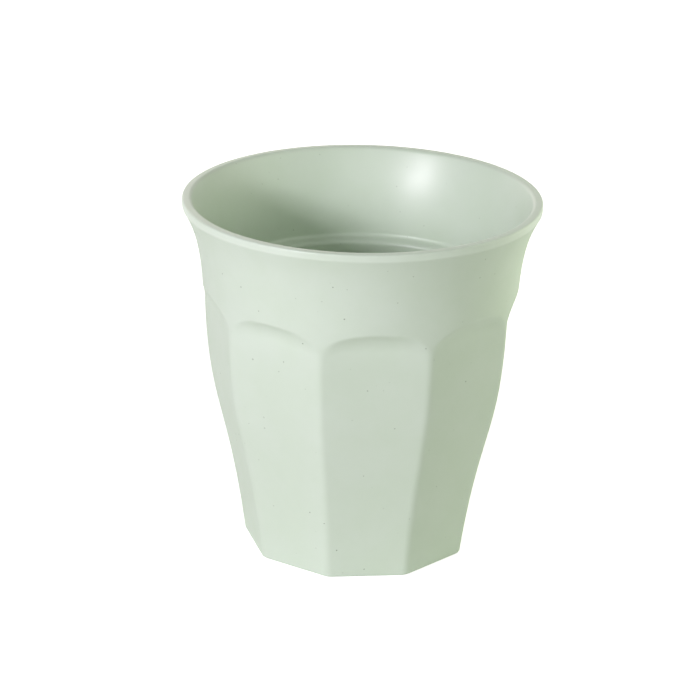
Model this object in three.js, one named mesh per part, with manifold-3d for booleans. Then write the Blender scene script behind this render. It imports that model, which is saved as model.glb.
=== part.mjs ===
// Faceted reusable cup in two mouldings: a matte outer shell with nine flats, and a smooth round
// liner whose banded lip rests on the shell's rim. Millimetres, +Z up, foot on z = 0.
import * as THREE from 'three';
import { mergeVertices } from 'three/addons/utils/BufferGeometryUtils.js';
import Module from 'manifold-3d';

const wasm = await Module();
wasm.setup();

// Overall form. A slope is millimetres outwards per millimetre of height, and a handle is how far
// a curve keeps the direction that it has at its end.
const cupHeight = 90;
const rimRadius = 44.25; // outside of the lip
const bandHeight = 1.85; // upright band round the lip
const bandFootRound = 0.8;
const bandTopRound = 0.5;
const lipWidth = 2.28; // the lip's flat top, before its edges are rounded
const innerEdgeRound = 1.2;
const seatDrop = 0.34; // from the band's foot down to the shell's top edge
const rimLean = THREE.MathUtils.degToRad(30.5); // the collar's lean from upright at the lip
const rimHandle = 7.1;
const waistSlope = 0.028;
const waistHandle = 12.8;

// Flats around the lower body, each ending in a cove under the round collar
const flatCount = 9;
const flatTop = 61.5;
const footApothem = 26.83; // centre line to a flat at the foot
const footSlope = 0.128;
const footHandle = 34.9;
const topApothem = 36.69; // centre line to a flat at its top
const topSlope = 0.036;
const topHandle = 28.1;
const coveRadius = 9.95;
const ridgeRound = 3.2; // rounding of the ridge between two flats
const footRound = 0.6; // rounding of the foot's edge

// Walls, floor and fits
const shellWall = 0.95;
const linerWall = 1.15;
const bondGap = 0.3; // clearance between the two mouldings
const shellFloor = 2;
const linerFloor = 1.5;
const floorFillet = 4; // inside corner of the liner's floor
const insideLean = THREE.MathUtils.degToRad(25); // the wall's inside at the lip, from upright
const insideHandle = 10;
const ledgeTop = 67.75; // stacking ledge inside the liner
const ledgeDrop = 0.95;
const ledgeSlope = 0.04;
const ledgeHandle = 7;
const recessDepth = 1.5; // hollow under the foot
const footRingWidth = 4.5;

// Fineness of the faceted surfaces
const turnSteps = 72;
const flatSteps = 9;
const collarSteps = 6;
const coveSteps = 4;
const wallSteps = 5; // round walls inside, below and above the cove
const filletSteps = 3;
const lipSteps = 2;
const cutMargin = 1; // how far a cutting solid runs past what it cuts
const mergeTolerance = 1e-4;
const halvings = 40; // how often a search halves its span

// Finish
const sageGreen = 0xccd8c9;
const matteRoughness = 0.55;
const satinRoughness = 0.35;

const fullWall = shellWall + bondGap + linerWall;
const ridgeAngle = Math.PI / flatCount; // from the middle of a flat to its ridge
const rimSeat = cupHeight - bandHeight - seatDrop; // the shell's top, under the lip

function point(radius, height) {
  return new THREE.Vector2(radius, height);
}

function heights(from, to, steps) {
  return Array.from({ length: steps + 1 }, (_, step) => from + ((to - from) * step) / steps);
}

function arc(centre, radius, from, to, steps) {
  return heights(from, to, steps).map((angle) =>
    point(centre.x + radius * Math.cos(angle), centre.y + radius * Math.sin(angle)));
}

// An arc that touches both sides of a corner where a profile turns left
function roundedCorner(before, corner, after, radius) {
  const toBefore = before.clone().sub(corner).normalize();
  const toAfter = after.clone().sub(corner).normalize();
  const half = toBefore.angleTo(toAfter) / 2;
  const centre = toBefore.clone().add(toAfter).setLength(radius / Math.sin(half)).add(corner);
  const start = toBefore.angle() + Math.PI / 2;
  return arc(centre, radius, start, start + Math.PI - 2 * half, lipSteps);
}

// Radius of the ridge that two flats leave once it is rounded
function ridgeRadius(apothem) {
  return (apothem - ridgeRound) / Math.cos(ridgeAngle) + ridgeRound;
}

// Profile of a flat's middle line, from the foot to where the cove starts
const flatCurve = new THREE.CubicBezierCurve(
  point(footApothem, 0),
  point(footApothem + footSlope * footHandle, footHandle),
  point(topApothem - topSlope * topHandle, flatTop - topHandle),
  point(topApothem, flatTop),
);

// Profile of the round collar, from the top of the ridges to the lip
const leanOut = point(Math.sin(rimLean), Math.cos(rimLean));
const bandFoot = point(rimRadius, cupHeight - bandHeight);
const lipBase = bandFoot.clone().addScaledVector(leanOut, -seatDrop / leanOut.y);
const waistRadius = ridgeRadius(topApothem);
const collarCurve = new THREE.CubicBezierCurve(
  point(waistRadius, flatTop),
  point(waistRadius + waistSlope * waistHandle, flatTop + waistHandle),
  lipBase.clone().addScaledVector(leanOut, -rimHandle),
  lipBase,
);

// Where a rising measure passes zero, by halving the span between low and high
function zeroOf(measure, low, high) {
  for (let halving = 0; halving < halvings; halving += 1) {
    const middle = (low + high) / 2;
    if (measure(middle) < 0) {
      low = middle;
    } else {
      high = middle;
    }
  }
  return high;
}

// Where a rising curve passes a height, from 0 at its start to 1 at its end
function placeAt(curve, height) {
  return zeroOf((place) => curve.getPoint(place).y - height, 0, 1);
}

function radiusAt(curve, height) {
  return curve.getPoint(placeAt(curve, height)).x;
}

// Distance from the centre line to a flat, with the cove that carries it out to the collar
function flatApothem(height) {
  const rise = THREE.MathUtils.clamp(height - flatTop, 0, coveRadius);
  return radiusAt(flatCurve, height) + coveRadius - Math.sqrt(coveRadius ** 2 - rise ** 2);
}

// Radius of the turned form: the ridges below, the collar above
function turnedRadius(height) {
  return height < flatTop ? ridgeRadius(radiusAt(flatCurve, height)) : radiusAt(collarCurve, height);
}

// Smallest radius of the outside at a height, which the round walls inside follow
function outsideRadius(height) {
  return Math.min(flatApothem(height), turnedRadius(height));
}

// Height where the cove in the middle of a flat reaches the collar
const coveMeet = zeroOf(
  (height) => flatApothem(height) - turnedRadius(height),
  flatTop,
  flatTop + coveRadius,
);

// Floor, filleted corner and wall of a round hollow, from the centre line up through the given stops
function bowl(wallRadius, floorHeight, fillet, ...stops) {
  const corner = point(wallRadius(floorHeight + fillet) - fillet, floorHeight + fillet);
  const profile = [point(0, floorHeight), ...arc(corner, fillet, -Math.PI / 2, 0, filletSteps)];
  let from = corner.y;
  for (const [to, steps] of stops) {
    profile.push(...heights(from, to, steps).slice(1).map((height) => point(wallRadius(height), height)));
    from = to;
  }
  return profile;
}

// Stops of a wall that follows the flat, the cove and the collar up to the rim
const wallStops = [[flatTop, wallSteps], [coveMeet, coveSteps], [rimSeat, wallSteps]];

// A profile turned about the upright axis as a closed solid
function turned(profile, steps = turnSteps, start = 0) {
  const geometry = new THREE.LatheGeometry(profile, steps, start);
  geometry.rotateX(Math.PI / 2);
  geometry.deleteAttribute('normal');
  geometry.deleteAttribute('uv');
  const merged = mergeVertices(geometry, mergeTolerance);
  const corners = merged.index.array;
  const triangles = [];
  for (let i = 0; i < corners.length; i += 3) {
    const [a, b, c] = corners.slice(i, i + 3);
    if (a !== b && b !== c && c !== a) {
      triangles.push(a, b, c);
    }
  }
  return new wasm.Manifold(new wasm.Mesh({
    numProp: 3,
    vertProperties: new Float32Array(merged.attributes.position.array),
    triVerts: new Uint32Array(triangles),
  }));
}

// The turned outside of the shell, before its flats are cut
function turnedBody() {
  const low = heights(0, flatTop, flatSteps);
  const high = heights(flatTop, rimSeat, collarSteps).slice(1);
  return turned([
    point(0, 0),
    ...[...low, ...high].map((height) => point(turnedRadius(height), height)),
    point(0, rimSeat),
  ]);
}

// A solid with as many flat sides as the cup, that opens out over the cove to clear the collar
function flatSidedBody() {
  const coveTop = coveMeet + cutMargin;
  const sideRadius = flatApothem(footRound);
  const sides = [
    point(0, 0),
    ...arc(point(sideRadius - footRound, footRound), footRound, -Math.PI / 2, 0, filletSteps),
    ...heights(footRound, flatTop, flatSteps).slice(1).map((height) => point(flatApothem(height), height)),
    ...heights(flatTop, coveTop, coveSteps).slice(1).map((height) => point(flatApothem(height), height)),
    point(rimRadius + cutMargin, coveTop),
    point(rimRadius + cutMargin, cupHeight + cutMargin),
    point(0, cupHeight + cutMargin),
  ];
  const corners = sides.map((side) => point(side.x / Math.cos(ridgeAngle), side.y));
  return turned(corners, flatCount, ridgeAngle);
}

function shellSolid() {
  const cavityFloor = recessDepth + shellFloor;
  const cavityFillet = floorFillet + linerWall + bondGap;
  const cavityWall = (height) => outsideRadius(height) - shellWall;
  const cavity = turned([
    ...bowl(cavityWall, cavityFloor, cavityFillet, ...wallStops),
    point(cavityWall(rimSeat), rimSeat + cutMargin),
    point(0, rimSeat + cutMargin),
  ]);
  const recessRadius = footApothem - footRingWidth;
  const recess = turned([
    point(0, -cutMargin),
    point(recessRadius, -cutMargin),
    point(recessRadius, recessDepth),
    point(0, recessDepth),
  ]);
  return turnedBody().intersect(flatSidedBody()).subtract(cavity).subtract(recess);
}

// Inside of the collar from the lip down to the ledge, straighter than its outside
function collarInside(innerEdge) {
  const insideOut = point(Math.sin(insideLean), Math.cos(insideLean));
  const ledge = point(radiusAt(collarCurve, ledgeTop) - fullWall, ledgeTop);
  const curve = new THREE.CubicBezierCurve(
    innerEdge,
    innerEdge.clone().addScaledVector(insideOut, -insideHandle),
    point(ledge.x + ledgeSlope * ledgeHandle, ledge.y + ledgeHandle),
    ledge,
  );
  return curve.getPoints(collarSteps);
}

function linerSolid() {
  const underside = recessDepth + shellFloor + bondGap;
  const outside = bowl(
    (height) => outsideRadius(height) - shellWall - bondGap,
    underside,
    floorFillet + linerWall,
    ...wallStops,
  );
  const bandTop = point(rimRadius, cupHeight);
  const innerEdge = point(rimRadius - lipWidth, cupHeight);
  const inside = collarInside(innerEdge).slice(1);
  const lip = [
    lipBase,
    ...roundedCorner(lipBase, bandFoot, bandTop, bandFootRound),
    ...roundedCorner(bandFoot, bandTop, innerEdge, bandTopRound),
    ...roundedCorner(bandTop, innerEdge, inside[0], innerEdgeRound),
  ];
  const well = bowl(
    (height) => radiusAt(flatCurve, height) - fullWall,
    underside + linerFloor,
    floorFillet,
    [ledgeTop - ledgeDrop, flatSteps],
  );
  return turned([...outside, ...lip, ...inside, ...well.reverse()]);
}

function moulding(name, solid, color, roughness) {
  const { vertProperties, triVerts } = solid.getMesh();
  const geometry = new THREE.BufferGeometry();
  geometry.setAttribute('position', new THREE.BufferAttribute(vertProperties, 3));
  geometry.setIndex(new THREE.BufferAttribute(triVerts, 1));
  geometry.computeVertexNormals();
  const mesh = new THREE.Mesh(geometry, new THREE.MeshStandardMaterial({ color, roughness, metalness: 0 }));
  mesh.name = name;
  return mesh;
}

const cup = new THREE.Group();
cup.add(moulding('outer_shell', shellSolid(), sageGreen, matteRoughness));
cup.add(moulding('inner_liner', linerSolid(), sageGreen, satinRoughness));

export default cup;
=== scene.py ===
import math

import bmesh
import bpy
from mathutils import Matrix, Vector


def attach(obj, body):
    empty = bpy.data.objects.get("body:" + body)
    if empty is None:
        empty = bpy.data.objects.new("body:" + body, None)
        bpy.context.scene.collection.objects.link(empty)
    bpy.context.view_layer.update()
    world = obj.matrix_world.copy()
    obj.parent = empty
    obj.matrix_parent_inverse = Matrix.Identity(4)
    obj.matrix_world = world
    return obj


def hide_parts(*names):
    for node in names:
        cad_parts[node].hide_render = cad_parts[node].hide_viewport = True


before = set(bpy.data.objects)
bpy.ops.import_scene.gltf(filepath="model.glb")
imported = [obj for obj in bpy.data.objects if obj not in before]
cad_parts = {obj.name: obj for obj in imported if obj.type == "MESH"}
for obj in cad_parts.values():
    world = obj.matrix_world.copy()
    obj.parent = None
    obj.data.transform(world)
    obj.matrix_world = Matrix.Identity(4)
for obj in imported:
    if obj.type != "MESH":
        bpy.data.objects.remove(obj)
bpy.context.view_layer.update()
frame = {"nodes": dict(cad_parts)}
scene = bpy.context.scene
scene.view_settings.view_transform = "Standard"
print("frame loaded:", ", ".join(frame["nodes"]))

mm = 0.001
weldDistance = 0.002 * mm
leastEdge = 0.0005 * mm
sharpAngle = math.radians(50)  # a steeper edge is shaded sharp
filletSteps = 8
halvings = 40  # in the search for a height on a curve

# form that both mouldings share; a slope is outwards per height, and a handle is how far
# a curve keeps the direction it has at its end
cup = {
    "height": 90 * mm,
    "rimRadius": 44.25 * mm,
    "bandHeight": 1.85 * mm,  # upright band round the lip
    "seatDrop": 0.34 * mm,  # from the band's foot down to the shell's top edge
    "rimLean": math.radians(30.5),  # of the collar at the lip, from upright
    "rimHandle": 7.1 * mm,
    "waistSlope": 0.028,
    "waistHandle": 12.8 * mm,
    "flatCount": 9,
    "flatTop": 61.5 * mm,  # where the cove starts beside a ridge
    "footApothem": 26.83 * mm,
    "footSlope": 0.128,
    "footHandle": 34.9 * mm,
    "topApothem": 36.69 * mm,
    "topSlope": 0.036,
    "topHandle": 28.1 * mm,
    "coveRadius": 6.8 * mm,
    "coveDelay": 1.22 * mm,  # how much higher it starts in the middle of a flat
    "ridgeRound": 3.2 * mm,
    "shellWall": 0.95 * mm,
    "linerWall": 1.15 * mm,
    "bondGap": 0.3 * mm,
    "shellFloor": 2 * mm,
    "recessDepth": 1.5 * mm,
}
ridgeAngle = math.pi / cup["flatCount"]
fullWall = cup["shellWall"] + cup["bondGap"] + cup["linerWall"]
leanOut = Vector((math.sin(cup["rimLean"]), 0, math.cos(cup["rimLean"])))
bandFoot = Vector((cup["rimRadius"], 0, cup["height"] - cup["bandHeight"]))
lipBase = bandFoot - leanOut * cup["seatDrop"] / leanOut.z
rimSeat = lipBase.z


def addNode(tree, kind, inputs=(), **settings):
    node = tree.nodes.new(kind)
    for name, value in settings.items():
        setattr(node, name, value)
    for key, value in inputs.items() if isinstance(inputs, dict) else enumerate(inputs):
        if isinstance(value, bpy.types.Node):
            value = value.outputs[0]
        if isinstance(value, bpy.types.NodeSocket):
            tree.links.new(value, node.inputs[key])
        else:
            node.inputs[key].default_value = value
    return node


def linearColour(hexText):
    channels = [int(hexText[i:i + 2], 16) / 255 for i in (1, 3, 5)]
    return [c / 12.92 if c <= 0.04045 else ((c + 0.055) / 1.055) ** 2.4 for c in channels] + [1]


# curves of the form, as four points (radius, 0, height)
def ridgeRadius(apothem):
    return (apothem - cup["ridgeRound"]) / math.cos(ridgeAngle) + cup["ridgeRound"]


flatCurve = [
    Vector((cup["footApothem"], 0, 0)),
    Vector((cup["footApothem"] + cup["footSlope"] * cup["footHandle"], 0, cup["footHandle"])),
    Vector((cup["topApothem"] - cup["topSlope"] * cup["topHandle"], 0, cup["flatTop"] - cup["topHandle"])),
    Vector((cup["topApothem"], 0, cup["flatTop"])),
]
waistRadius = ridgeRadius(cup["topApothem"])
collarCurve = [
    Vector((waistRadius, 0, cup["flatTop"])),
    Vector((waistRadius + cup["waistSlope"] * cup["waistHandle"], 0, cup["flatTop"] + cup["waistHandle"])),
    lipBase - cup["rimHandle"] * leanOut,
    lipBase,
]


def curvePoint(curve, place):
    back = 1 - place
    weights = (back**3, 3 * back**2 * place, 3 * back * place**2, place**3)
    return sum((point * weight for point, weight in zip(curve, weights)), Vector())


def placeAt(curve, height):
    low, high = 0, 1
    for _ in range(halvings):
        middle = (low + high) / 2
        if curvePoint(curve, middle).z < height:
            low = middle
        else:
            high = middle
    return high


def radiusAt(curve, height):
    return curvePoint(curve, placeAt(curve, height)).x


def outsideRadius(height):
    # the smallest radius of the outside at a height: a flat's middle, its cove, then the collar
    flat = radiusAt(flatCurve, min(height, cup["flatTop"]))
    if height < cup["flatTop"]:
        return flat
    rise = max(height - cup["flatTop"] - cup["coveDelay"], 0)
    collar = radiusAt(collarCurve, height)
    if rise > cup["coveRadius"]:
        return collar
    return min(flat + cup["coveRadius"] - math.sqrt(cup["coveRadius"]**2 - rise**2), collar)


def spread(start, end, steps):
    return [start + (end - start) * step / steps for step in range(steps + 1)]


def arcPoints(centre, radius, start, end, steps):
    return [
        centre + radius * Vector((math.cos(turn), 0, math.sin(turn)))
        for turn in spread(start, end, steps)
    ]


def roundedCorner(before, corner, after, radius, steps):
    # an arc that touches both sides of a corner
    toBefore = (before - corner).normalized()
    toAfter = (after - corner).normalized()
    half = toBefore.angle(toAfter) / 2
    centre = corner + (toBefore + toAfter).normalized() * radius / math.sin(half)
    first = (corner + toBefore * radius / math.tan(half) - centre).normalized()
    last = (corner + toAfter * radius / math.tan(half) - centre).normalized()
    return [centre + radius * first.slerp(last, share) for share in spread(0, 1, steps)]


def bowlWall(wallRadius, floor, fillet, top, steps):
    # floor, filleted corner and wall of a round hollow, from the centre line up
    corner = Vector((wallRadius(floor + fillet) - fillet, 0, floor + fillet))
    wall = [Vector((wallRadius(height), 0, height)) for height in spread(floor + fillet, top, steps)]
    return [Vector((0, 0, floor))] + arcPoints(corner, fillet, -math.pi / 2, 0, filletSteps) + wall[1:]


def plainMesh(source, name):
    # the evaluated nodes as a plain welded mesh, with the source object gone
    evaluated = source.evaluated_get(bpy.context.evaluated_depsgraph_get())
    mesh = bpy.data.meshes.new_from_object(evaluated)
    shape = bmesh.new()
    shape.from_mesh(mesh)
    bmesh.ops.remove_doubles(shape, verts=shape.verts, dist=weldDistance)
    bmesh.ops.dissolve_degenerate(shape, edges=shape.edges, dist=leastEdge)
    bmesh.ops.recalc_face_normals(shape, faces=shape.faces)
    shape.to_mesh(mesh)
    shape.free()
    mesh.name = name
    mesh.set_sharp_from_angle(angle=sharpAngle)
    bpy.data.objects.remove(source)
    piece = bpy.data.objects.new(name, mesh)
    scene.collection.objects.link(piece)
    print(name, len(mesh.vertices), "vertices", len(mesh.polygons), "faces")
    return piece


# melamine resin filled with plant fibre and pressed in a hot mould: an even pale green with a faint
# clouding, a few dark fibre ends at the surface, and a gloss that follows the mould's polish
melamine = {
    "body": "#d2e0ce",
    "cloud": "#cfdeca",
    "cloudSize": 14 * mm,
    "cloudRange": (0.35, 0.65),  # of the noise, from no clouding to full clouding
    "fleck": "#73896a",
    "fleckSpacing": 3.4 * mm,
    "fleckSize": 0.44 * mm,
    "fleckRagged": 0.3 * mm,  # how far a fleck's edge strays
    "fleckCore": 0.6,  # share of a fleck that is full before its edge fades
    "faintestFleck": 0.1,
    "patchRange": (0.3, 0.7),  # of the noise, from the smoothest to the roughest gloss
    "grainSize": 0.8 * mm,  # drawn coarse: the mould's own grain, about 0.1 mm, is too fine to show
    "ior": 1.6,
}


def mouldedMelamine(name, finish):
    material = bpy.data.materials.new(name)
    material.use_nodes = True
    tree = material.node_tree
    place = addNode(tree, "ShaderNodeTexCoord").outputs["Object"]

    clouding = addNode(tree, "ShaderNodeTexNoise",
                       {"Vector": place, "Scale": 1 / melamine["cloudSize"], "Detail": 3, "Roughness": 0.6})
    cloudShare = addNode(tree, "ShaderNodeMapRange", [clouding, *melamine["cloudRange"], 0, 1])
    body = addNode(tree, "ShaderNodeMix", {
        0: cloudShare,
        6: linearColour(melamine["body"]),
        7: linearColour(melamine["cloud"]),
    }, data_type="RGBA").outputs[2]

    # fibre ends: the few cells whose middle lies at the surface
    halfFleck = melamine["fleckSize"] / 2
    strays = addNode(tree, "ShaderNodeTexNoise", {"Vector": place, "Scale": 1 / halfFleck, "Detail": 1})
    ragged = addNode(tree, "ShaderNodeVectorMath", [
        strays.outputs["Color"],
        [melamine["fleckRagged"]] * 3,
        place,
    ], operation="MULTIPLY_ADD")
    cells = addNode(tree, "ShaderNodeTexVoronoi", {"Vector": ragged, "Scale": 1 / melamine["fleckSpacing"]})
    fleckEdge = halfFleck / melamine["fleckSpacing"]
    fleck = addNode(tree, "ShaderNodeMapRange",
                    [cells.outputs["Distance"], melamine["fleckCore"] * fleckEdge, fleckEdge, 1, 0])
    chance = addNode(tree, "ShaderNodeSeparateColor", [cells.outputs["Color"]])
    depth = addNode(tree, "ShaderNodeMapRange",
                    [chance.outputs["Red"], 0, 1, melamine["faintestFleck"], finish["fleckStrength"]])
    fleckShare = addNode(tree, "ShaderNodeMath", [fleck, depth], operation="MULTIPLY")
    colour = addNode(tree, "ShaderNodeMix", {
        0: fleckShare,
        6: body,
        7: linearColour(melamine["fleck"]),
    }, data_type="RGBA").outputs[2]

    # gloss: patchy from the mould
    patches = addNode(tree, "ShaderNodeTexNoise",
                      {"Vector": place, "Scale": 1 / finish["patchSize"], "Detail": 2})
    roughness = addNode(tree, "ShaderNodeMapRange",
                        [patches, *melamine["patchRange"], finish["smoothest"], finish["roughest"]])

    grain = addNode(tree, "ShaderNodeTexNoise",
                    {"Vector": place, "Scale": 1 / melamine["grainSize"], "Detail": 2})
    bump = addNode(tree, "ShaderNodeBump", {"Height": grain, "Strength": 1, "Distance": finish["grainDepth"]})

    shader = tree.nodes["Principled BSDF"]
    shader.inputs["IOR"].default_value = melamine["ior"]
    shader.inputs["Specular IOR Level"].default_value = finish["specular"]
    tree.links.new(colour, shader.inputs["Base Color"])
    tree.links.new(roughness.outputs[0], shader.inputs["Roughness"])
    tree.links.new(bump.outputs[0], shader.inputs["Normal"])
    return material


# matte outside from a blasted mould: soft sheen, all its flecks showing
matteFinish = {
    "smoothest": 0.68,
    "roughest": 0.74,
    "patchSize": 5 * mm,
    "specular": 0.3,
    "fleckStrength": 0.9,
    "grainDepth": 0.004 * mm,
}

# satin inside from a polished core: a broad soft highlight, flecks mostly under the resin skin
satinFinish = {
    "smoothest": 0.36,
    "roughest": 0.4,
    "patchSize": 8 * mm,
    "specular": 0.45,
    "fleckStrength": 0.35,
    "grainDepth": 0.002 * mm,
}


# outer shell: nine flat panels around a turned inside
shell = {
    "panelColumns": 60,
    "footRows": 5,
    "flatRows": 46,
    "collarRows": 80,
    "collarCrowding": 1.6,  # more rows low on the collar, where the cove ends
    "curveSteps": 200,
    "panelWeld": 0.005 * mm,
    "footRound": 0.6 * mm,
    "coveRunOn": 8,  # slope past the cove's end, steep enough to stay clear of the collar
    "archSoftness": 0.7 * mm,  # how far the cove's end melts into the collar
    "archFade": 1.5 * mm,  # height above the waist by which that is reached
    "footRingWidth": 4.5 * mm,
    "recessRound": 0.4 * mm,
    "recessSteps": 4,
    "cavityFillet": 5.45 * mm,
    "insideRows": 14,
}


def panelTree():
    tree = bpy.data.node_groups.new("flatPanels", "GeometryNodeTree")
    tree.interface.new_socket("Geometry", in_out="OUTPUT", socket_type="NodeSocketGeometry")
    tree.interface.new_socket("Turned inside", in_out="INPUT", socket_type="NodeSocketGeometry")
    for name in ("Flat count", "Columns", "Foot rows", "Flat rows", "Collar rows", "Curve steps"):
        tree.interface.new_socket(name, in_out="INPUT", socket_type="NodeSocketInt")
    for name in ("Flat foot", "Flat foot handle", "Flat top handle", "Flat top"):
        tree.interface.new_socket(name, in_out="INPUT", socket_type="NodeSocketVector")
    for name in ("Waist", "Waist handle", "Rim handle", "Rim"):
        tree.interface.new_socket(name, in_out="INPUT", socket_type="NodeSocketVector")
    for name in ("Sole radius", "Foot round", "Ridge round", "Cove radius", "Cove delay", "Cove run-on",
                 "Arch softness", "Arch fade", "Collar crowding", "Panel weld"):
        tree.interface.new_socket(name, in_out="INPUT", socket_type="NodeSocketFloat")
    tree.interface.new_socket("Material", in_out="INPUT", socket_type="NodeSocketMaterial")
    size = addNode(tree, "NodeGroupInput").outputs

    # a unit grid: across is one panel's angle, up is its row
    rowsToFlat = addNode(tree, "ShaderNodeMath", [size["Foot rows"], 1], operation="ADD")
    rowsToCollar = addNode(tree, "ShaderNodeMath", [rowsToFlat, size["Flat rows"]], operation="ADD")
    rows = addNode(tree, "ShaderNodeMath", [rowsToCollar, size["Collar rows"]], operation="ADD")
    rowPoints = addNode(tree, "ShaderNodeMath", [rows, 1], operation="ADD")
    columnPoints = addNode(tree, "ShaderNodeMath", [size["Columns"], 1], operation="ADD")
    grid = addNode(tree, "GeometryNodeMeshGrid", [1, 1, columnPoints, rowPoints])
    gridPlace = addNode(tree, "ShaderNodeSeparateXYZ", [addNode(tree, "GeometryNodeInputPosition")])
    halfPanel = addNode(tree, "ShaderNodeMath", [math.pi, size["Flat count"]], operation="DIVIDE")
    panelTurn = addNode(tree, "ShaderNodeMath", [halfPanel, 2], operation="MULTIPLY")
    turn = addNode(tree, "ShaderNodeMath", [gridPlace.outputs["X"], panelTurn], operation="MULTIPLY")
    up = addNode(tree, "ShaderNodeMath", [gridPlace.outputs["Y"], 0.5], operation="ADD")
    row = addNode(tree, "ShaderNodeMath", [up, rows], operation="MULTIPLY")

    # how far a row is round the foot's edge, as an angle, and up the flat and the collar, from 0 to 1
    footTurn = addNode(tree, "ShaderNodeMapRange", [row, 1, rowsToFlat, 0, math.pi / 2])
    flatRun = addNode(tree, "ShaderNodeMapRange", [row, rowsToFlat, rowsToCollar, 0, 1])
    collarRun = addNode(tree, "ShaderNodeMapRange", [row, rowsToCollar, rows, 0, 1])
    collarPlace = addNode(tree, "ShaderNodeMath", [collarRun, size["Collar crowding"]], operation="POWER")

    flat = addNode(tree, "GeometryNodeCurvePrimitiveBezierSegment", [
        size["Curve steps"],
        size["Flat foot"],
        size["Flat foot handle"],
        size["Flat top handle"],
        size["Flat top"],
    ])
    collar = addNode(tree, "GeometryNodeCurvePrimitiveBezierSegment", [
        size["Curve steps"],
        size["Waist"],
        size["Waist handle"],
        size["Rim handle"],
        size["Rim"],
    ])
    flatLength = addNode(tree, "GeometryNodeCurveLength", [flat])
    footShare = addNode(tree, "ShaderNodeMath", [size["Foot round"], flatLength], operation="DIVIDE")
    footCos = addNode(tree, "ShaderNodeMath", [footTurn], operation="COSINE")
    footRise = addNode(tree, "ShaderNodeMath", [1, footCos], operation="SUBTRACT")
    footPlace = addNode(tree, "ShaderNodeMath", [footRise, footShare], operation="MULTIPLY")
    restShare = addNode(tree, "ShaderNodeMath", [1, footShare], operation="SUBTRACT")
    flatPlace = addNode(tree, "ShaderNodeMath", [flatRun, restShare, footPlace], operation="MULTIPLY_ADD")
    onFlat = addNode(tree, "GeometryNodeSampleCurve", {"Curves": flat, "Factor": flatPlace})
    onCollar = addNode(tree, "GeometryNodeSampleCurve", {"Curves": collar, "Factor": collarPlace})
    flatSpot = addNode(tree, "ShaderNodeSeparateXYZ", [onFlat.outputs["Position"]])
    collarSpot = addNode(tree, "ShaderNodeSeparateXYZ", [onCollar.outputs["Position"]])
    waist = addNode(tree, "ShaderNodeSeparateXYZ", [size["Waist"]])
    aboveWaist = addNode(tree, "ShaderNodeMath", [collarSpot.outputs["Z"], waist.outputs["Z"]],
                         operation="SUBTRACT")
    height = addNode(tree, "ShaderNodeMath", [flatSpot.outputs["Z"], aboveWaist], operation="ADD")

    # how far the flat is drawn in round the foot's edge
    footShort = addNode(tree, "ShaderNodeMath", [size["Foot round"], height], operation="SUBTRACT")
    footLow = addNode(tree, "ShaderNodeMath", [footShort, 0], operation="MAXIMUM")
    footDraw = addNode(tree, "ShaderNodeMath", [footLow, 2], operation="POWER")
    footSquare = addNode(tree, "ShaderNodeMath", [size["Foot round"], 2], operation="POWER")
    footLeft = addNode(tree, "ShaderNodeMath", [footSquare, footDraw], operation="SUBTRACT")
    footReach = addNode(tree, "ShaderNodeMath", [footLeft], operation="SQRT")
    footInset = addNode(tree, "ShaderNodeMath", [size["Foot round"], footReach], operation="SUBTRACT")

    # how far the cove carries it out under the collar, starting last in the middle of the flat
    offMiddle = addNode(tree, "ShaderNodeMath", [turn], operation="ABSOLUTE")
    sideShare = addNode(tree, "ShaderNodeMath", [offMiddle, halfPanel], operation="DIVIDE")
    sideCube = addNode(tree, "ShaderNodeMath", [sideShare, 3], operation="POWER")
    middleShare = addNode(tree, "ShaderNodeMath", [1, sideCube], operation="SUBTRACT")
    coveDelay = addNode(tree, "ShaderNodeMath", [size["Cove delay"], middleShare], operation="MULTIPLY")
    pastDelay = addNode(tree, "ShaderNodeMath", [aboveWaist, coveDelay], operation="SUBTRACT")
    coveStart = addNode(tree, "ShaderNodeMath", [pastDelay, 0], operation="MAXIMUM")
    coveRise = addNode(tree, "ShaderNodeMath", [coveStart, size["Cove radius"]], operation="MINIMUM")
    coveDraw = addNode(tree, "ShaderNodeMath", [coveRise, 2], operation="POWER")
    coveSquare = addNode(tree, "ShaderNodeMath", [size["Cove radius"], 2], operation="POWER")
    coveLeft = addNode(tree, "ShaderNodeMath", [coveSquare, coveDraw], operation="SUBTRACT")
    coveReach = addNode(tree, "ShaderNodeMath", [coveLeft], operation="SQRT")
    coveOut = addNode(tree, "ShaderNodeMath", [size["Cove radius"], coveReach], operation="SUBTRACT")
    pastCove = addNode(tree, "ShaderNodeMath", [coveStart, coveRise], operation="SUBTRACT")
    clearOut = addNode(tree, "ShaderNodeMath", [pastCove, size["Cove run-on"], coveOut],
                       operation="MULTIPLY_ADD")
    lowApothem = addNode(tree, "ShaderNodeMath", [flatSpot.outputs["X"], footInset], operation="SUBTRACT")
    apothem = addNode(tree, "ShaderNodeMath", [lowApothem, clearOut], operation="ADD")

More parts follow.
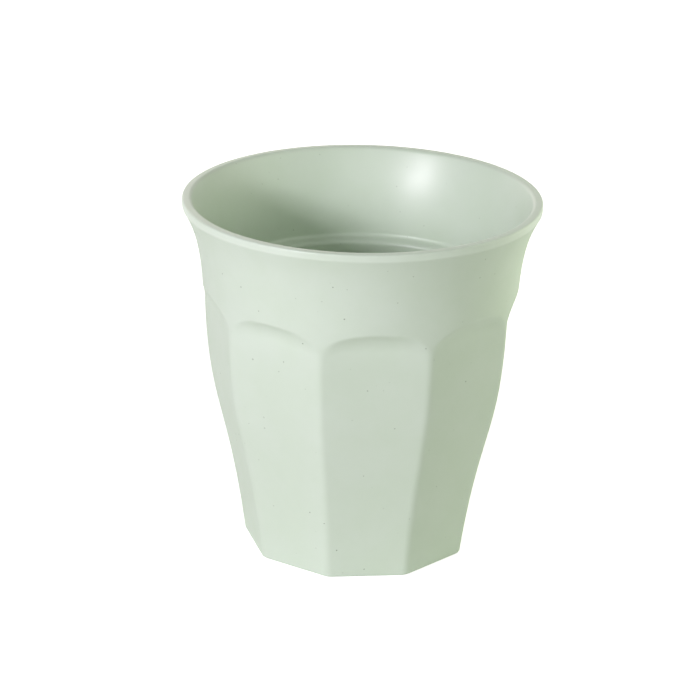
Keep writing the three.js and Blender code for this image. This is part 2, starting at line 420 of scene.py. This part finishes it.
    # a section with flat sides and rounded ridges
    offRidge = addNode(tree, "ShaderNodeMath", [halfPanel, offMiddle], operation="SUBTRACT")
    middleCos = addNode(tree, "ShaderNodeMath", [offMiddle], operation="COSINE")
    middleTan = addNode(tree, "ShaderNodeMath", [offMiddle], operation="TANGENT")
    ridgeCos = addNode(tree, "ShaderNodeMath", [halfPanel], operation="COSINE")
    ridgeTan = addNode(tree, "ShaderNodeMath", [halfPanel], operation="TANGENT")
    sideRadius = addNode(tree, "ShaderNodeMath", [apothem, middleCos], operation="DIVIDE")
    inner = addNode(tree, "ShaderNodeMath", [apothem, size["Ridge round"]], operation="SUBTRACT")
    hub = addNode(tree, "ShaderNodeMath", [inner, ridgeCos], operation="DIVIDE")
    hubSin = addNode(tree, "ShaderNodeMath", [offRidge], operation="SINE")
    hubCos = addNode(tree, "ShaderNodeMath", [offRidge], operation="COSINE")
    hubAcross = addNode(tree, "ShaderNodeMath", [hub, hubSin], operation="MULTIPLY")
    hubSquare = addNode(tree, "ShaderNodeMath", [hubAcross, 2], operation="POWER")
    roundSquare = addNode(tree, "ShaderNodeMath", [size["Ridge round"], 2], operation="POWER")
    roundLeft = addNode(tree, "ShaderNodeMath", [roundSquare, hubSquare], operation="SUBTRACT")
    roundReach = addNode(tree, "ShaderNodeMath", [roundLeft], operation="SQRT")
    roundRadius = addNode(tree, "ShaderNodeMath", [hub, hubCos, roundReach], operation="MULTIPLY_ADD")
    flatHalf = addNode(tree, "ShaderNodeMath", [inner, ridgeTan], operation="MULTIPLY")
    across = addNode(tree, "ShaderNodeMath", [apothem, middleTan], operation="MULTIPLY")
    pastFlat = addNode(tree, "FunctionNodeCompare", [across, flatHalf], operation="GREATER_THAN")
    sectionRadius = addNode(tree, "GeometryNodeSwitch", [pastFlat, sideRadius, roundRadius],
                            input_type="FLOAT")

    # the round form that the flats are cut from: the ridges below, the collar above
    ridgeInner = addNode(tree, "ShaderNodeMath", [flatSpot.outputs["X"], size["Ridge round"]],
                         operation="SUBTRACT")
    ridgeHub = addNode(tree, "ShaderNodeMath", [ridgeInner, ridgeCos], operation="DIVIDE")
    ridge = addNode(tree, "ShaderNodeMath", [ridgeHub, size["Ridge round"]], operation="ADD")
    collarOut = addNode(tree, "ShaderNodeMath", [collarSpot.outputs["X"], waist.outputs["X"]],
                        operation="SUBTRACT")
    turned = addNode(tree, "ShaderNodeMath", [ridge, collarOut], operation="ADD")
    softness = addNode(tree, "ShaderNodeMapRange",
                       [aboveWaist, 0, size["Arch fade"], 0, size["Arch softness"]])
    outer = addNode(tree, "ShaderNodeMath", [turned, sectionRadius, softness], operation="SMOOTH_MIN")
    onSole = addNode(tree, "FunctionNodeCompare", [row, 0.5], operation="LESS_THAN")
    radius = addNode(tree, "GeometryNodeSwitch", [onSole, outer, size["Sole radius"]], input_type="FLOAT")

    turnSin = addNode(tree, "ShaderNodeMath", [turn], operation="SINE")
    turnCos = addNode(tree, "ShaderNodeMath", [turn], operation="COSINE")
    frontward = addNode(tree, "ShaderNodeMath", [radius, -1], operation="MULTIPLY")
    x = addNode(tree, "ShaderNodeMath", [radius, turnSin], operation="MULTIPLY")
    y = addNode(tree, "ShaderNodeMath", [frontward, turnCos], operation="MULTIPLY")
    place = addNode(tree, "ShaderNodeCombineXYZ", [x, y, height])
    panel = addNode(tree, "GeometryNodeSetPosition", {"Geometry": grid, "Position": place})

    # one panel to each side of the cup, joined to the turned inside
    spots = addNode(tree, "GeometryNodePoints", [size["Flat count"]])
    spotTurn = addNode(tree, "ShaderNodeMath", [addNode(tree, "GeometryNodeInputIndex"), panelTurn],
                       operation="MULTIPLY")
    spotAngles = addNode(tree, "ShaderNodeCombineXYZ", [0, 0, spotTurn])
    panels = addNode(tree, "GeometryNodeInstanceOnPoints",
                     {"Points": spots, "Instance": panel, "Rotation": spotAngles})
    realPanels = addNode(tree, "GeometryNodeRealizeInstances", [panels])
    joined = addNode(tree, "GeometryNodeJoinGeometry", [realPanels])
    tree.links.new(size["Turned inside"], joined.inputs[0])
    welded = addNode(tree, "GeometryNodeMergeByDistance",
                     {"Geometry": joined, "Distance": size["Panel weld"]})
    smooth = addNode(tree, "GeometryNodeSetShadeSmooth", [welded])
    finished = addNode(tree, "GeometryNodeSetMaterial", {"Geometry": smooth, "Material": size["Material"]})
    addNode(tree, "NodeGroupOutput", [finished])
    return tree


def turnedMesh(name, profiles, steps):
    # round surfaces that share their columns with the panels, so that the edges weld
    shape = bmesh.new()
    for profile in profiles:
        rings = []
        for point in profile:
            ring = []
            for step in range(steps):
                turn = 2 * math.pi * step / steps
                ring.append(shape.verts.new((point.x * math.sin(turn), -point.x * math.cos(turn), point.z)))
            rings.append(ring)
        for low, high in zip(rings, rings[1:]):
            for step in range(steps):
                after = (step + 1) % steps
                shape.faces.new((low[step], low[after], high[after], high[step]))
    mesh = bpy.data.meshes.new(name)
    shape.to_mesh(mesh)
    shape.free()
    return mesh


def setInputs(modifier, values):
    for item in modifier.node_group.interface.items_tree:
        if item.in_out == "INPUT" and item.name in values:
            modifier[item.identifier] = values[item.name]


def makeShell(material):
    recessRadius = cup["footApothem"] - shell["footRingWidth"]
    soleRadius = recessRadius + shell["recessRound"]
    ceiling = Vector((0, 0, cup["recessDepth"]))
    corner = Vector((recessRadius, 0, cup["recessDepth"]))
    wallFoot = Vector((recessRadius, 0, 0))
    sole = Vector((soleRadius + shell["recessRound"], 0, 0))
    recess = [ceiling]
    recess += roundedCorner(ceiling, corner, wallFoot, shell["recessRound"], shell["recessSteps"])
    recess += roundedCorner(corner, wallFoot, sole, shell["recessRound"], shell["recessSteps"])
    hollow = bowlWall(
        lambda height: outsideRadius(height) - cup["shellWall"],
        cup["recessDepth"] + cup["shellFloor"],
        shell["cavityFillet"],
        rimSeat,
        shell["insideRows"],
    )
    hollow.append(lipBase)
    steps = shell["panelColumns"] * cup["flatCount"]
    source = bpy.data.objects.new("shellSource", turnedMesh("shellInside", [recess, hollow], steps))
    scene.collection.objects.link(source)
    modifier = source.modifiers.new("flatPanels", "NODES")
    modifier.node_group = panelTree()
    values = dict(zip(("Flat foot", "Flat foot handle", "Flat top handle", "Flat top"), flatCurve))
    values.update(zip(("Waist", "Waist handle", "Rim handle", "Rim"), collarCurve))
    values.update({
        "Flat count": cup["flatCount"],
        "Columns": shell["panelColumns"],
        "Foot rows": shell["footRows"],
        "Flat rows": shell["flatRows"],
        "Collar rows": shell["collarRows"],
        "Curve steps": shell["curveSteps"],
        "Sole radius": soleRadius,
        "Foot round": shell["footRound"],
        "Ridge round": cup["ridgeRound"],
        "Cove radius": cup["coveRadius"],
        "Cove delay": cup["coveDelay"],
        "Cove run-on": shell["coveRunOn"],
        "Arch softness": shell["archSoftness"],
        "Arch fade": shell["archFade"],
        "Collar crowding": shell["collarCrowding"],
        "Panel weld": shell["panelWeld"],
        "Material": material,
    })
    setInputs(modifier, values)
    piece = plainMesh(source, "outerShell")
    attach(piece, "root")
    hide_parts("outer_shell")
    return piece


# liner: one profile turned about the upright axis
liner = {
    "turnSteps": 288,
    "floorThickness": 1.5 * mm,
    "floorFillet": 4 * mm,
    "ledgeTop": 67.75 * mm,  # stacking ledge
    "ledgeDrop": 0.95 * mm,
    "ledgeRound": 1.2 * mm,
    "ledgeSteps": 6,
    "ledgeSlope": 0.04,
    "ledgeHandle": 7 * mm,
    "lipWidth": 2.28 * mm,
    "insideLean": math.radians(25),  # of the wall's inside at the lip, from upright
    "insideHandle": 10 * mm,
    "bandFootRound": 0.8 * mm,
    "bandTopRound": 0.5 * mm,
    "innerEdgeRound": 1.2 * mm,
    "lipSteps": 8,
    "collarRows": 40,
    "wellRows": 40,
    "outsideRows": 14,
    "hubRadius": 1 * mm,  # of the circle that carries the profile round
}


def turnTree():
    tree = bpy.data.node_groups.new("turnedProfile", "GeometryNodeTree")
    tree.interface.new_socket("Geometry", in_out="OUTPUT", socket_type="NodeSocketGeometry")
    tree.interface.new_socket("Profile", in_out="INPUT", socket_type="NodeSocketGeometry")
    tree.interface.new_socket("Turn steps", in_out="INPUT", socket_type="NodeSocketInt")
    tree.interface.new_socket("Hub radius", in_out="INPUT", socket_type="NodeSocketFloat")
    tree.interface.new_socket("Material", in_out="INPUT", socket_type="NodeSocketMaterial")
    size = addNode(tree, "NodeGroupInput").outputs
    circle = addNode(tree, "GeometryNodeCurvePrimitiveCircle",
                     {"Resolution": size["Turn steps"], "Radius": size["Hub radius"]})
    inward = addNode(tree, "ShaderNodeMath", [size["Hub radius"], -1], operation="MULTIPLY")
    shift = addNode(tree, "ShaderNodeCombineXYZ", [inward, 0, 0])
    laid = addNode(tree, "GeometryNodeTransform", {
        "Geometry": size["Profile"],
        "Translation": shift,
        "Rotation": (math.pi / 2, 0, 0),  # an upright profile lies flat to be carried round
    })
    turned = addNode(tree, "GeometryNodeCurveToMesh", {"Curve": circle, "Profile Curve": laid})
    welded = addNode(tree, "GeometryNodeMergeByDistance", {"Geometry": turned, "Distance": weldDistance})
    real = addNode(tree, "GeometryNodeRealizeInstances", [welded])
    smooth = addNode(tree, "GeometryNodeSetShadeSmooth", [real])
    finished = addNode(tree, "GeometryNodeSetMaterial", {"Geometry": smooth, "Material": size["Material"]})
    addNode(tree, "NodeGroupOutput", [finished])
    return tree


def linerProfile():
    underside = cup["recessDepth"] + cup["shellFloor"] + cup["bondGap"]
    setIn = cup["shellWall"] + cup["bondGap"]
    outside = bowlWall(
        lambda height: outsideRadius(height) - setIn,
        underside,
        liner["floorFillet"] + cup["linerWall"],
        rimSeat,
        liner["outsideRows"],
    )

    # the collar's inside is straighter than its outside
    insideOut = Vector((math.sin(liner["insideLean"]), 0, math.cos(liner["insideLean"])))
    innerEdge = Vector((cup["rimRadius"] - liner["lipWidth"], 0, cup["height"]))
    ledge = Vector((radiusAt(collarCurve, liner["ledgeTop"]) - fullWall, 0, liner["ledgeTop"]))
    insideCurve = [
        innerEdge,
        innerEdge - liner["insideHandle"] * insideOut,
        ledge + liner["ledgeHandle"] * Vector((liner["ledgeSlope"], 0, 1)),
        ledge,
    ]
    inside = [curvePoint(insideCurve, place) for place in spread(0, 1, liner["collarRows"])]

    # the lip is a low upright band with a flat top
    bandTop = Vector((cup["rimRadius"], 0, cup["height"]))
    lip = [lipBase]
    lip += roundedCorner(lipBase, bandFoot, bandTop, liner["bandFootRound"], liner["lipSteps"])
    lip += roundedCorner(bandFoot, bandTop, innerEdge, liner["bandTopRound"], liner["lipSteps"])
    lip += roundedCorner(bandTop, innerEdge, inside[1], liner["innerEdgeRound"], liner["lipSteps"])

    well = bowlWall(
        lambda height: radiusAt(flatCurve, min(height, cup["flatTop"])) - fullWall,
        underside + liner["floorThickness"],
        liner["floorFillet"],
        liner["ledgeTop"] - liner["ledgeDrop"],
        liner["wellRows"],
    )
    well.reverse()
    upper = roundedCorner(inside[-2], inside[-1], well[0], liner["ledgeRound"], liner["ledgeSteps"])
    lower = roundedCorner(inside[-1], well[0], well[1], liner["ledgeRound"], liner["ledgeSteps"])
    above = [point for point in inside if upper[0].z < point.z < lip[-1].z]
    below = [point for point in well if point.z < lower[-1].z]
    return outside + lip + above + upper + lower + below


def makeLiner(material):
    points = linerProfile()
    curve = bpy.data.curves.new("linerProfile", "CURVE")
    curve.dimensions = "3D"
    spline = curve.splines.new("POLY")
    spline.points.add(len(points) - 1)
    for spot, point in zip(spline.points, points):
        spot.co = (*point, 1)
    source = bpy.data.objects.new("linerSource", curve)
    scene.collection.objects.link(source)
    modifier = source.modifiers.new("turnedProfile", "NODES")
    modifier.node_group = turnTree()
    setInputs(modifier, {
        "Turn steps": liner["turnSteps"],
        "Hub radius": liner["hubRadius"],
        "Material": material,
    })
    piece = plainMesh(source, "innerLiner")
    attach(piece, "root")
    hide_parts("inner_liner")
    return piece


makeShell(mouldedMelamine("matteMouldedMelamine", matteFinish))
makeLiner(mouldedMelamine("satinMouldedMelamine", satinFinish))

# camera, as the photograph sees the cup
view = {
    "distance": 701.7 * mm,
    "height": 315.8 * mm,
    "round": math.radians(-6.04),  # from the middle of a flat
    "aside": math.radians(0.194),
    "down": math.radians(20.764),
    "roll": math.radians(1.074),
    "lens": 154.53,
    "sensor": 36,
    "nearest": 50 * mm,
    "farthest": 20000 * mm,
}
camera = bpy.data.objects.new("camera", bpy.data.cameras.new("camera"))
camera.data.lens = view["lens"]
camera.data.sensor_width = view["sensor"]
camera.data.clip_start = view["nearest"]
camera.data.clip_end = view["farthest"]
stand = Matrix.Rotation(view["round"], 4, "Z") @ Matrix.Translation((0, -view["distance"], view["height"]))
aim = Matrix.Rotation(view["aside"], 4, "Z") @ Matrix.Rotation(math.pi / 2 - view["down"], 4, "X")
camera.matrix_world = stand @ aim @ Matrix.Rotation(view["roll"], 4, "Z")
scene.collection.objects.link(camera)
scene.camera = camera
print("camera placed")

# stage: a white floor and surround
stage = {
    "reach": 3,
    "paper": "#f4f4f2",
    "shadowGlow": 0.66,  # glow of the paper round the cup, where the shadow lies
    "shadowReach": 0.15,  # from the cup's middle, like the next one
    "whiteFrom": 0.4,
    "skyLight": 0.02,  # what the surround adds to the light on the cup
}


def seenShare(tree):
    # 1 for rays that look at the background, 0 for the light that it throws on the cup
    path = addNode(tree, "ShaderNodeLightPath").outputs
    seen = addNode(tree, "ShaderNodeMath", [path["Is Camera Ray"], path["Is Glossy Ray"]],
                   operation="MAXIMUM")
    return addNode(tree, "ShaderNodeMath", [seen, path["Is Transmission Ray"]], operation="MAXIMUM")


floorMesh = bpy.data.meshes.new("floor")
reach = stage["reach"]
floorMesh.from_pydata([(-reach, -reach, 0), (reach, -reach, 0), (reach, reach, 0), (-reach, reach, 0)],
                      [], [(0, 1, 2, 3)])
floor = bpy.data.objects.new("floor", floorMesh)
scene.collection.objects.link(floor)
paper = bpy.data.materials.new("whitePaper")
paper.use_nodes = True
paperTree = paper.node_tree
paperTree.nodes.clear()
paperPlace = addNode(paperTree, "ShaderNodeTexCoord").outputs["Object"]
fromCup = addNode(paperTree, "ShaderNodeVectorMath", [paperPlace], operation="LENGTH").outputs["Value"]
sweep = addNode(paperTree, "ShaderNodeMapRange",
                [fromCup, stage["shadowReach"], stage["whiteFrom"], stage["shadowGlow"], 1])
glowStrength = addNode(paperTree, "ShaderNodeMath", [seenShare(paperTree), sweep], operation="MULTIPLY")
sheet = addNode(paperTree, "ShaderNodeBsdfDiffuse", {"Color": linearColour(stage["paper"])})
glow = addNode(paperTree, "ShaderNodeEmission", {"Color": (1, 1, 1, 1), "Strength": glowStrength})
both = addNode(paperTree, "ShaderNodeAddShader", [sheet, glow])
addNode(paperTree, "ShaderNodeOutputMaterial", {"Surface": both})
floorMesh.materials.append(paper)

world = bpy.data.worlds.new("studio")
scene.world = world
world.use_nodes = True
worldTree = world.node_tree
worldTree.nodes.clear()
skyStrength = addNode(worldTree, "ShaderNodeMapRange", [seenShare(worldTree), 0, 1, stage["skyLight"], 1])
surround = addNode(worldTree, "ShaderNodeBackground", {"Color": (1, 1, 1, 1), "Strength": skyStrength})
addNode(worldTree, "ShaderNodeOutputWorld", {"Surface": surround})

# lamps aimed at the cup's middle; a turn is round from the camera's side, a rise is above level
lamps = {
    "keySoftbox": {
        "turn": -42, "rise": 20.5, "away": 1.2, "size": (0.42, 0.2),
        "roll": -28,  # hung with its right end high
        "power": 11.1, "colour": "#faf3ff",
    },
    "frontFill": {
        "turn": 0, "rise": 24, "away": 1.2, "size": (0.8, 0.4),
        "power": 1.76, "colour": "#f8fff8",
    },
    "rightFill": {
        "turn": 60, "rise": 20, "away": 1.2, "size": (0.8, 0.5),
        "power": 0.86, "colour": "#f8ffed",
    },
    "rightCard": {
        "turn": 103, "rise": 22, "away": 0.24, "size": (0.25, 0.25),
        "power": 0.323, "colour": "#fcffed",
    },
    "backCard": {
        "turn": 180, "rise": 26, "away": 0.4, "size": (0.8, 0.25),
        "power": 0.276, "colour": "#fffeec",
    },
    "leftCard": {
        "turn": -150, "rise": 20, "away": 0.4, "size": (0.4, 0.25),
        "power": 0.24, "colour": "#fffbea",
    },
}
target = Vector((0, 0, cup["height"] / 2))
for name, lamp in lamps.items():
    light = bpy.data.lights.new(name, "AREA")
    light.shape = "RECTANGLE"
    light.size, light.size_y = lamp["size"]
    light.energy = lamp["power"]
    light.color = linearColour(lamp["colour"])[:3]
    swing = Matrix.Rotation(view["round"] + math.radians(lamp["turn"]), 4, "Z")
    lift = Matrix.Rotation(math.radians(-lamp["rise"]), 4, "X")
    spot = target + swing @ lift @ Vector((0, -lamp["away"], 0))
    facing = (target - spot).to_track_quat("-Z", "Y").to_matrix().to_4x4()
    roll = Matrix.Rotation(math.radians(lamp.get("roll", 0)), 4, "Z")
    holder = bpy.data.objects.new(name, light)
    holder.matrix_world = Matrix.Translation(spot) @ facing @ roll
    holder.visible_camera = False
    scene.collection.objects.link(holder)
print("stage and lamps set")
